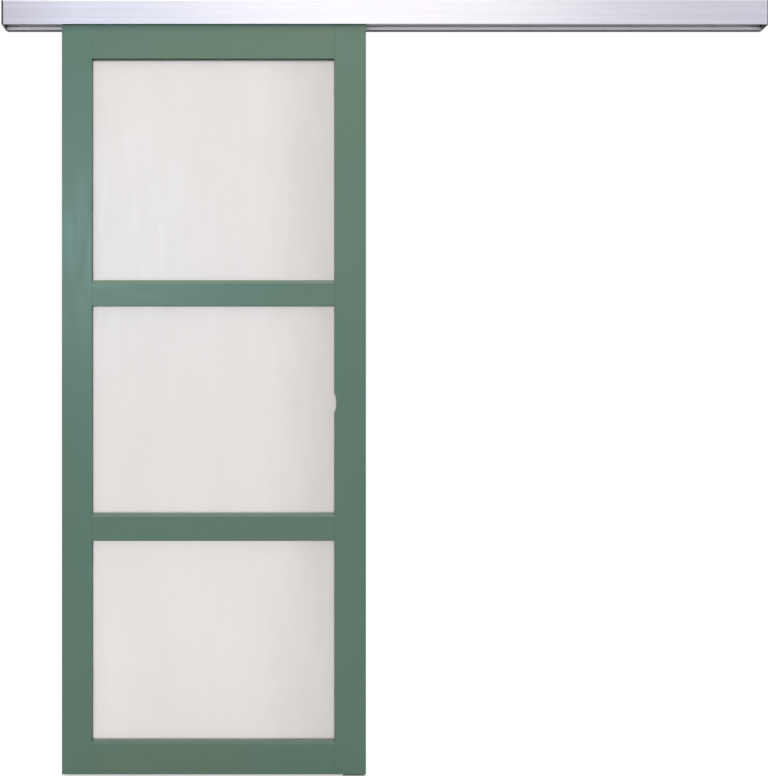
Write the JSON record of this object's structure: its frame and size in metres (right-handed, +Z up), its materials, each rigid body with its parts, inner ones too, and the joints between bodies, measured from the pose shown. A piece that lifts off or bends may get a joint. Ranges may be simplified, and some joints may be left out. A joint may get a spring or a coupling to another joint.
{
  "type": "glazed sliding door",
  "caption": "Wall-hung sliding door: a lacquered wooden leaf with frosted panes rolls on trolleys in an aluminium track behind a clip-on pelmet, steered by a floor guide.",
  "frame": {"origin": "middle of the row of wall screws, on the wall's surface", "axes": "+X along the track, to the right seen from the room; +Y into the wall; +Z up. The leaf is at its left end of travel, as pictured"},
  "size_m": [2.09, 0.066, 2.1175],
  "materials": {
    "lacquered_wood": "satin grey-green lacquer",
    "bare_wood": "turned beech",
    "frosted_glass": "frosted",
    "brushed_aluminium": "brushed and anodised",
    "dark_plastic": "moulded, matt",
    "zinc_steel": "zinc plated",
    "nylon": "moulded nylon",
    "rubber": "soft",
    "clear_silicone": "soft, translucent"
  },
  "bodies": {
    "casing": {"wall_profile": "brushed_aluminium", "track": "brushed_aluminium", "track_screws": "zinc_steel", "pelmet": "brushed_aluminium", "end_cap_left": "dark_plastic", "end_cap_right": "dark_plastic", "end_stop_left": "zinc_steel", "end_stop_right": "zinc_steel", "stop_bumper_left": "rubber", "stop_bumper_right": "rubber", "stop_screws": "zinc_steel", "floor_guide": "nylon"},
    "leaf": {"left_stile": "lacquered_wood", "right_stile": "lacquered_wood", "bottom_rail": "lacquered_wood", "lower_mid_rail": "lacquered_wood", "upper_mid_rail": "lacquered_wood", "top_rail": "lacquered_wood", "frame_dowels": "bare_wood", "glass_bottom": "frosted_glass", "glazing_seal_bottom": "clear_silicone", "bead_bottom_lower": "lacquered_wood", "bead_bottom_right": "lacquered_wood", "bead_bottom_upper": "lacquered_wood", "bead_bottom_left": "lacquered_wood", "glass_middle": "frosted_glass", "glazing_seal_middle": "clear_silicone", "bead_middle_lower": "lacquered_wood", "bead_middle_right": "lacquered_wood", "bead_middle_upper": "lacquered_wood", "bead_middle_left": "lacquered_wood", "glass_top": "frosted_glass", "glazing_seal_top": "clear_silicone", "bead_top_lower": "lacquered_wood", "bead_top_right": "lacquered_wood", "bead_top_upper": "lacquered_wood", "bead_top_left": "lacquered_wood", "hanger_plate_screws": "zinc_steel", "left_hanger_plate": "zinc_steel", "left_hanger_bolt": "zinc_steel", "left_lock_nut": "zinc_steel", "left_trolley_body": "zinc_steel", "left_trolley_axles": "zinc_steel", "right_hanger_plate": "zinc_steel", "right_hanger_bolt": "zinc_steel", "right_lock_nut": "zinc_steel", "right_trolley_body": "zinc_steel", "right_trolley_axles": "zinc_steel"},
    "left_wheel_outer_back": {"left_wheel_outer_back": "nylon"},
    "left_wheel_outer_front": {"left_wheel_outer_front": "nylon"},
    "left_wheel_inner_back": {"left_wheel_inner_back": "nylon"},
    "left_wheel_inner_front": {"left_wheel_inner_front": "nylon"},
    "right_wheel_inner_back": {"right_wheel_inner_back": "nylon"},
    "right_wheel_inner_front": {"right_wheel_inner_front": "nylon"},
    "right_wheel_outer_back": {"right_wheel_outer_back": "nylon"},
    "right_wheel_outer_front": {"right_wheel_outer_front": "nylon"}
  },
  "joints": [
    {"name": "door_slide", "type": "slide", "parent": "casing", "child": "leaf", "axis": [1, 0, 0], "range_m": [0, 0.764]},
    {"name": "left_wheel_outer_back_roll", "type": "hinge", "parent": "leaf", "child": "left_wheel_outer_back", "pos_m": [-0.782, -0.0267, -0.0028], "axis": [0, 1, 0], "continuous": true},
    {"name": "left_wheel_outer_front_roll", "type": "hinge", "parent": "leaf", "child": "left_wheel_outer_front", "pos_m": [-0.782, -0.0453, -0.0028], "axis": [0, 1, 0], "continuous": true},
    {"name": "left_wheel_inner_back_roll", "type": "hinge", "parent": "leaf", "child": "left_wheel_inner_back", "pos_m": [-0.722, -0.0267, -0.0028], "axis": [0, 1, 0], "continuous": true},
    {"name": "left_wheel_inner_front_roll", "type": "hinge", "parent": "leaf", "child": "left_wheel_inner_front", "pos_m": [-0.722, -0.0453, -0.0028], "axis": [0, 1, 0], "continuous": true},
    {"name": "right_wheel_inner_back_roll", "type": "hinge", "parent": "leaf", "child": "right_wheel_inner_back", "pos_m": [-0.212, -0.0267, -0.0028], "axis": [0, 1, 0], "continuous": true},
    {"name": "right_wheel_inner_front_roll", "type": "hinge", "parent": "leaf", "child": "right_wheel_inner_front", "pos_m": [-0.212, -0.0453, -0.0028], "axis": [0, 1, 0], "continuous": true},
    {"name": "right_wheel_outer_back_roll", "type": "hinge", "parent": "leaf", "child": "right_wheel_outer_back", "pos_m": [-0.152, -0.0267, -0.0028], "axis": [0, 1, 0], "continuous": true},
    {"name": "right_wheel_outer_front_roll", "type": "hinge", "parent": "leaf", "child": "right_wheel_outer_front", "pos_m": [-0.152, -0.0453, -0.0028], "axis": [0, 1, 0], "continuous": true}
  ],
  "couplings": [
    {"joint": "left_wheel_outer_back_roll", "follows": "door_slide", "rad_per_m": 76.923},
    {"joint": "left_wheel_outer_front_roll", "follows": "door_slide", "rad_per_m": 76.923},
    {"joint": "left_wheel_inner_back_roll", "follows": "door_slide", "rad_per_m": 76.923},
    {"joint": "left_wheel_inner_front_roll", "follows": "door_slide", "rad_per_m": 76.923},
    {"joint": "right_wheel_inner_back_roll", "follows": "door_slide", "rad_per_m": 76.923},
    {"joint": "right_wheel_inner_front_roll", "follows": "door_slide", "rad_per_m": 76.923},
    {"joint": "right_wheel_outer_back_roll", "follows": "door_slide", "rad_per_m": 76.923},
    {"joint": "right_wheel_outer_front_roll", "follows": "door_slide", "rad_per_m": 76.923}
  ]
}
